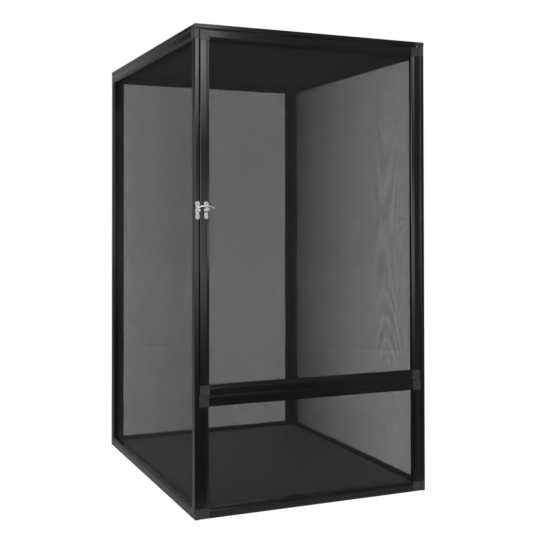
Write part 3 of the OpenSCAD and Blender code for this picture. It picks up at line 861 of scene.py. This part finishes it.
# Half the arch's width is 0.3 at its free tip, 1.35 at its top and 0.4 where it ends in the eye.
t = np.linspace(0, 1, ROWS)
blunt = np.sqrt(1 - (1 - t / 0.05).clip(0, 1) ** 2)  # the tip is rounded over a twentieth of the arch
into_eye = np.clip((t - 0.86) / 0.14, 0, 1)
arch_half = MM * (0.3 + blunt * (0.8 + 0.25 * np.sin(np.pi * t)) - 0.7 * into_eye)
arch_line = arc_path(ARCH_X, ARCH_Z, ARCH_R - 1.1 * into_eye, TIP_ANGLE, EYE_ANGLE, ROWS,
                     flat=ARCH_RISE / ARCH_R)
arch = swept(arch_line, arch_half, np.minimum(arch_half * 1.1, 1.08 * MM), out)
tail_half = MM * np.linspace(1.3, 0.95, ROWS // 2)
leaning = np.array([-0.06, -0.998, 0.0])  # the tail's flat face is turned a little to the left
tail_line = arc_path(TAIL_X, TAIL_Z, TAIL_R, TAIL_ANGLE, BALL_ANGLE + 1, ROWS // 2)
tail = swept(tail_line, tail_half, np.minimum(tail_half, MM), leaning)
EYE_ROUND, EYE_SPIN = 20, 48  # points round the eye's wall, and round its hole
c, s = soft_circle(EYE_ROUND, 0.6)
eye_r, eye_y = MM * (EYE_R + EYE_WALL * c), MM * EYE_HALF * s
spin = np.linspace(0, 2 * np.pi, EYE_SPIN, endpoint=False)
eye_grid = np.stack([pivot[0] + eye_r[:, None] * np.cos(spin), hook_y + eye_y[:, None] + 0 * spin,
                     pivot[2] + eye_r[:, None] * np.sin(spin)], -1)
eye_grid = np.concatenate([eye_grid, eye_grid[:1]])  # its first ring again, which merging closes
eye = (eye_grid.reshape(-1, 3), grid_faces(EYE_ROUND + 1, EYE_SPIN))
b = np.linspace(-0.49 * np.pi, 0.49 * np.pi, 20)
ball_at = arc_path(TAIL_X, TAIL_Z, TAIL_R, BALL_ANGLE, BALL_ANGLE, 1)[0]
ball = turned(BALL_R * MM * np.cos(b), BALL_R * MM * np.sin(b), ball_at, out, sides=28)
hook = make_piece("hook_forged", *joined([arch, tail, eye, ball]), nickel_finish, "latch_hook", ["hook"],
                  "nickel", sharp=60)
outward(hook, merge=1e-7)
print(hook.name, "has", len(hook.data.polygons), "faces")

# %% [markdown]
# ## The latch's plates and its rivet
# Both plates are pressed from sheet, with soft edges, so they are rounded copies of their solids. The
# rivet could be one too, but its dome would keep the solid's flat facets, so its profile is turned.

# %% Plates and rivet
PLATE_EDGE = 0.0004
for node, body in (("strike_plate", "cage"), ("pivot_plate", "door")):
    rounded_copy(node, node + "_pressed", nickel_finish, body, PLATE_EDGE, segments=3, angle=40)
RIVET_R, RIVET_SHANK = 2.6 * MM, 1.5 * MM  # the radius of its dome and of its shank
RIVET_DOME, RIVET_LIP, RIVET_DEEP = 1.0 * MM, 0.05 * MM, 4.9 * MM  # the dome's height, its lip, its depth
k = np.linspace(0.01, 1, 12)
dome = turned(np.concatenate([RIVET_R * k, [RIVET_R, RIVET_SHANK, RIVET_SHANK]]),
              np.concatenate([RIVET_DOME * np.sqrt(1 - 0.8 * k ** 2), [RIVET_LIP, 0, -RIVET_DEEP]]),
              np.array([pivot[0], rivet_lo[1] + RIVET_DOME, pivot[2]]), out)
outward(make_piece("pivot_rivet_dome", *dome, nickel_finish, "door", ["pivot_rivet"], "nickel", sharp=50))
print("two plates and a rivet of", round(2 * RIVET_R / MM, 1), "mm")

# %% [markdown]
# ## Screws
# All screws have a driver's cross. A boolean cut would do, but it leaves ragged faces on so small a
# head. So the cross is worked into the head's own surface: the height of the head drops inside a soft
# cross. The frame screws are countersunk and black, the small latch screws are domed and plated.

# %% Screw heads with a driver's cross
HEAD_ROWS = 16
EDGE_FALL, RIM = 0.00008, 0.0003  # of a countersunk head: how far its edge falls, and its rim's height
FLUSH_SCREW = {"head_r": 2.7 * MM, "dome_h": 0.0, "shank_r": 1.45 * MM, "length": 20 * MM}
DOMED_SCREW = {"head_r": 2 * MM, "dome_h": 0.8 * MM, "shank_r": 1 * MM, "length": 6 * MM}


def screw(foot, axis, head_r, dome_h, shank_r, length):
    """A screw: its head's top is dome_h * sqrt(1 - 0.7 k^2), then the rim, the neck and the shank.

    k runs from the middle of the head to its rim. Without a dome the screw is countersunk: its head is
    flat, with an edge that falls by a hair, and its neck is a cone that is as high as it is wide.
    """
    k = np.linspace(0.02, 1, HEAD_ROWS)
    high = dome_h * np.sqrt(1 - 0.7 * k ** 2) if dome_h else -EDGE_FALL * k ** 6
    neck = 0.0 if dome_h else -head_r + shank_r - RIM
    radius = np.concatenate([head_r * k, [shank_r, shank_r]])
    height = np.concatenate([high, [neck, -length]])
    cross = (0.45 * head_r, 0.17 * head_r, 0.62 * head_r, HEAD_ROWS - 1)
    return turned(radius, height, foot, axis, sides=44, cross=cross)


def screws(name, node, places, axes, body, finish, slot, sizes):
    """One piece of several screws, in the place of their solid."""
    parts = [screw(np.array(p), np.array(a), **sizes) for p, a in zip(places, axes)]
    outward(make_piece(name, *joined(parts), finish, body, [node], slot, sharp=50))
    print(f"{name}: {len(parts)} screws")


for name, node, body in (("strike_screw_heads", "strike_screws", "cage"),
                         ("pivot_screw_heads", "pivot_plate_screws", "door")):
    lo, hi = (np.array(v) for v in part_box(node))
    x, seat, in_by = (lo[0] + hi[0]) / 2, lo[1] + DOMED_SCREW["dome_h"], DOMED_SCREW["head_r"]
    places = [(x, seat, lo[2] + in_by), (x, seat, hi[2] - in_by)]
    screws(name, node, places, [out] * 2, body, nickel_finish, "nickel", DOMED_SCREW)

lo, hi = (np.array(v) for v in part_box("top_screws"))
in_by = FLUSH_SCREW["head_r"]
places = [(x, y, hi[2]) for x in (lo[0] + in_by, hi[0] - in_by) for y in (lo[1] + in_by, hi[1] - in_by)]
screws("top_screw_heads", "top_screws", places, [(0, 0, 1)] * 4, "cage", screw_finish, "frame_screw",
       FLUSH_SCREW)

# %% The screws of the side frames
deep, tall = frames["left"].size
lower_top = frames["lower"].size[1]
# How far a screw sits from a frame's edge, from its corner along the foot, and above or below a corner.
EDGE, ASIDE, ABOVE, BELOW = 0.004, 0.0125, 0.012, 0.013
marks = [(EDGE, ABOVE), (ASIDE, EDGE), (EDGE, lower_top - BELOW), (deep - EDGE, ABOVE),
         (deep - ASIDE, EDGE), (deep - EDGE, tall - ABOVE)]
places, axes = [], []
for f in (frames["left"], frames["right"]):
    for u, v in marks:
        places.append(f.corner + u * f.across + v * f.up)
        axes.append(-f.inward)
screws("side_screw_heads", "side_screws", places, axes, "cage", screw_finish, "frame_screw", FLUSH_SCREW)

# %% [markdown]
# ## Hinge pins and washer
# These are plain turned parts, and their solids are round enough to show. They could be modelled again,
# but a better finish is all that they lack, so it is put on the solids themselves.

# %% Drawn steel for the hinge
for node in ("upper_hinge_pin", "lower_hinge_pin", "hinge_washer"):
    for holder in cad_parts[node].material_slots:
        holder.link, holder.material = "OBJECT", steel_finish
left_over = [n for n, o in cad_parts.items() if not o.hide_render]
print("solids that show as they are:", left_over)

# %% [markdown]
# ## The studio: floor and backdrop
# The cage stands on a wide pale floor in a plain studio. Its white surroundings could be lit until they
# clip, but that light would fall on the cage too. So the camera, and light that passes through things,
# see white, while the cage is lit at a plain level, and the floor near it keeps its shadow.
#
# Black gloss shows nothing of its own: it is drawn by what it mirrors. A white studio would make it
# grey all over, so shiny surfaces see a painted one. In front stand a pale band at eye level, a bright
# window above it and a soft light on the left, with a dark gap to the right of the middle. Behind the
# cage it is dimmer. The floor's shine fades from far in front towards the cage, and is a plain grey
# under it and behind.

# %% The floor
FLOOR_R, FLOOR_DROP = 7, 0.0002  # how far the floor reaches, and how far below the cage's foot it lies
FLOOR_SIDES = 96
FLOOR_WHITE = 1.07  # how strong the white is that the camera sees
FLOOR_PALE = (0.82, 0.82, 0.82, 1)


def floor_shine(tree, spot):
    """What a shiny surface sees of the floor: by how far back it is, less to the right of a slanted line."""
    across, back, _ = add(tree, "ShaderNodeSeparateXYZ", {0: spot}).outputs
    slant = combined(tree, across, times(tree, back, -1.0), "DIVIDE")
    by_depth = profile(tree, back,
                       [(-6.5, 1.3), (-4.0, 0.75), (-2.4, 0.3), (-1.7, 0.1), (-1.1, 0.02), (-0.5, 0.02),
                        (-0.4, 0.04), (-0.32, 0.12), (-0.27, 0.34), (-0.2, 0.36), (0.2, 0.33),
                        (0.9, 0.24), (3.2, 0.24)])
    kept = combined(tree, remap(tree, slant, 0.42, 0.55, 1.0, 0.1), remap(tree, back, -0.8, -0.6),
                    "MAXIMUM")
    faint = remap(tree, slant, 0.42, 0.55, 0.0, 0.12)
    return combined(tree, times(tree, by_depth, kept), faint, "MAXIMUM")


def studio_floor():
    """A wide disc: pale and diffuse, with white added for the camera and its own shine for gloss."""
    a = np.linspace(0, 2 * np.pi, FLOOR_SIDES, endpoint=False)
    rim = np.stack([FLOOR_R * np.cos(a), FLOOR_R * np.sin(a), 0 * a - FLOOR_DROP], 1)
    mesh = bpy.data.meshes.new("studio_floor")
    mesh.from_pydata(rim.tolist(), [], [list(range(FLOOR_SIDES))])
    material, tree, shader = new_finish("studio floor", Base_Color=FLOOR_PALE, Roughness=0.9,
                                        Specular_IOR_Level=0.1)
    white = add(tree, "ShaderNodeEmission", {"Color": (1, 1, 1, 1), "Strength": FLOOR_WHITE})
    rays = add(tree, "ShaderNodeLightPath").outputs
    spot = add(tree, "ShaderNodeTexCoord").outputs["Object"]
    far = add(tree, "ShaderNodeVectorMath", {0: spot}, operation="LENGTH").outputs["Value"]
    seen = combined(tree, rays["Is Camera Ray"], rays["Is Transmission Ray"], "MAXIMUM")
    # Within 0.6 m of the middle some of the floor's own shading stays, which holds the cage's shadow.
    share = times(tree, seen, remap(tree, far, 0.6, 1.6, 0.85, 1.0))
    blend = add(tree, "ShaderNodeMixShader", {0: share, 1: shader.outputs[0], 2: white.outputs[0]})
    shine = add(tree, "ShaderNodeEmission", {"Strength": floor_shine(tree, spot)})
    final = add(tree, "ShaderNodeMixShader", {0: rays["Is Glossy Ray"], 1: blend.outputs[0],
                                              2: shine.outputs[0]})
    tree.links.new(final.outputs[0], tree.nodes["Material Output"].inputs["Surface"])
    mesh.materials.append(material)
    floor = bpy.data.objects.new("studio_floor", mesh)
    bpy.context.scene.collection.objects.link(floor)
    floor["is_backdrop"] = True


studio_floor()
print("floor of", 2 * FLOOR_R, "m")

# %% The world, and the way a ray goes in it
world = bpy.data.worlds.new("studio")
bpy.context.scene.world = world
world.use_nodes = True
sky = world.node_tree
background = sky.nodes["Background"]
toward = add(sky, "ShaderNodeSeparateXYZ", {0: add(sky, "ShaderNodeTexCoord").outputs["Generated"]})
# The way to a point of the world: x to the right, y to the back and z up, each from -1 to 1.
x, y, z = toward.outputs


def without(value, share):
    """What is left of a value once a share of it is taken away."""
    return times(sky, value, combined(sky, 1.0, share, "SUBTRACT"))


def between(a, b, factor):
    """a where factor is 0 and b where it is 1, for plain values."""
    return add(sky, "ShaderNodeMix", {0: factor, 2: a, 3: b}).outputs[0]


# %% What gloss sees in front of the cage
DARKEST = 0.13
# Brightness by height: the band at eye level, the window from 0.10 to 0.25, and the dim wall above it.
height = profile(sky, z, [(-0.06, 1.4), (-0.03, 1.55), (0.0, 1.3), (0.03, 0.9), (0.055, 0.35),
                          (0.095, 0.25), (0.125, 1.8), (0.16, 3.6), (0.18, 4.9), (0.21, 5.3), (0.23, 3.0),
                          (0.26, 0.5), (0.32, 0.2), (0.6, 0.25), (1.0, 0.6)])
# The window is dimmed towards the left, and again at the far right.
at_window = times(sky, remap(sky, z, 0.08, 0.12), remap(sky, z, 0.30, 0.26))
dimmed = times(sky, at_window, combined(sky, remap(sky, x, 0.25, -0.2, 0.0, 0.95),
                                        remap(sky, x, 0.7, 0.8, 0.0, 0.72)))
# The gap has hard sides, moves a hair to the left as it rises, and fades high up.
GAP_LEFT, GAP_RIGHT, GAP_SOFT = 0.375, 0.80, 0.002
leaned = combined(sky, x, remap(sky, z, 0.03, 0.13, 0.0, 0.006))
gap = times(sky, remap(sky, leaned, GAP_LEFT - GAP_SOFT, GAP_LEFT + GAP_SOFT),
            remap(sky, leaned, GAP_RIGHT + GAP_SOFT, GAP_RIGHT - GAP_SOFT))
darkened = times(sky, gap, remap(sky, z, 0.65, 0.85, 0.97, 0.3))
lit = without(without(height, dimmed), darkened)
# The soft light fills the left from the floor's level to well above the cage.
softbox = times(sky, remap(sky, x, -0.2, -0.4, 0.13, 0.95), remap(sky, z, 0.8, 0.6))
above_floor = times(sky, softbox, remap(sky, z, -0.1, 0.0))
front = combined(sky, combined(sky, lit, DARKEST, "MAXIMUM"), above_floor, "MAXIMUM")

# %% What gloss sees behind the cage, and the whole world
# To the left it is dim, darkest at the far left; to the right it is dark low down and bright high up.
leftward = between(remap(sky, x, -0.36, -0.27, 0.22, 0.46), remap(sky, x, -0.337, -0.27, 0.02, 0.46),
                   remap(sky, z, 0.12, 0.20))
rightward = times(sky, remap(sky, z, 0.22, 0.27, 0.12, 1.6), remap(sky, x, 0.38, 0.50, 1.0, 0.4))
behind = between(leftward, rightward, remap(sky, x, -0.1, 0.2))
painted = between(front, behind, remap(sky, y, -0.2, 0.3))
# The camera and transmission see 1, which is white; gloss sees the painted studio, a little cool; the
# diffuse light that falls on the cage is a plain, even grey.
EVEN_LIGHT, COOL = 0.55, (0.94, 0.965, 1.0, 1)
rays = add(sky, "ShaderNodeLightPath").outputs
glossy = rays["Is Glossy Ray"]
seen = combined(sky, rays["Is Camera Ray"], rays["Is Transmission Ray"], "MAXIMUM")
shine = combined(sky, times(sky, glossy, painted), seen, "MAXIMUM")
plain = times(sky, combined(sky, 1.0, glossy, "SUBTRACT"), EVEN_LIGHT)
sky.links.new(combined(sky, shine, plain, "MAXIMUM"), background.inputs["Strength"])
sky.links.new(mix(sky, glossy, (1, 1, 1, 1), COOL), background.inputs["Color"])
print("world:", len(sky.nodes), "nodes")

# %% [markdown]
# ## Lamps
# Four soft square lamps light the cage: a key from the front left, a weaker fill from the right, one
# overhead, and a small glint. One strong lamp would give hard shadows and lose the black side. The key
# and the fill would show in the gloss as white squares, so they leave no shine there. The glint is for
# the latch: nickel needs something small and bright to mirror, and it stands below the cage's top, so
# the top's gloss does not catch it.

# %% Four lamps


def lamp(name, at, aim, size, watts, mirrored=True):
    """A square area lamp at a point, aimed at another; a lamp that isn't mirrored leaves no shine."""
    data = bpy.data.lights.new(name, "AREA")
    data.size, data.energy = size, watts
    made = bpy.data.objects.new(name, data)
    made.location = at
    made.rotation_euler = (Vector(aim) - Vector(at)).to_track_quat("-Z", "Y").to_euler()
    made.visible_glossy = mirrored
    bpy.context.scene.collection.objects.link(made)
    print(f"{name}: {size} m wide, {watts} W")


MIDDLE, LATCH = (0, 0, 0.4), (0, 0, 0.5)  # aimed at the cage's middle, or at the latch's height
lamp("key", (-1.9, -1.7, 1.9), MIDDLE, size=1.0, watts=27, mirrored=False)
lamp("glint", (-1.7, -1.9, 0.72), LATCH, size=0.5, watts=6)
lamp("fill", (2.0, -1.6, 1.3), MIDDLE, size=1.2, watts=10, mirrored=False)
lamp("overhead", (0.0, 0.2, 2.6), MIDDLE, size=1.6, watts=26)

# %% [markdown]
# ## Camera
# The camera stands to the front left, a little above the middle, and looks almost level, so upright
# edges stay nearly upright. It could be aimed at the cage with a constraint, but a place, a turn and
# a shift say exactly what it sees.

# %% Where the camera stands
FOCAL_PX, SEEN_PX, SENSOR = 857.95, 533, 36.0  # focal length and picture in pixels, sensor in mm
YAW, PITCH = math.radians(20.684), math.radians(0.793)  # turned to the right, and up
camera_data = bpy.data.cameras.new("camera")
camera_data.sensor_width = SENSOR
camera_data.lens = FOCAL_PX / SEEN_PX * SENSOR
camera_data.shift_x, camera_data.shift_y = 0.1428, -0.1103
camera_data.clip_end = 60
camera = bpy.data.objects.new("camera", camera_data)
ahead = Vector((math.sin(YAW) * math.cos(PITCH), math.cos(YAW) * math.cos(PITCH), math.sin(PITCH)))
near_corner, from_corner = Vector((-0.22, -0.247, 0)), Vector((-0.4942, -1.2890, 0.4821))
camera.location = near_corner + from_corner
camera.rotation_euler = ahead.to_track_quat("-Z", "Y").to_euler()
bpy.context.scene.collection.objects.link(camera)
bpy.context.scene.camera = camera
bpy.context.scene.view_settings.view_transform = "Standard"
print("camera lens", round(camera_data.lens, 1), "mm")

# %% [markdown]
# ## Sizes, and the end
# Dressing must not make the cage larger than its solids. That could be judged by eye, but the two boxes
# say it in numbers, so both are measured and the most that the dressed one passes the other by is printed.

# %% Both boxes, and the end
dressed_box = [list(corner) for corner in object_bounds()]
grown = max(max(s - d for s, d in zip(solid_box[0], dressed_box[0])),
            max(d - s for s, d in zip(solid_box[1], dressed_box[1])))
print("the dressed cage passes its solids by", round(grown * 1000, 2), "mm at most")
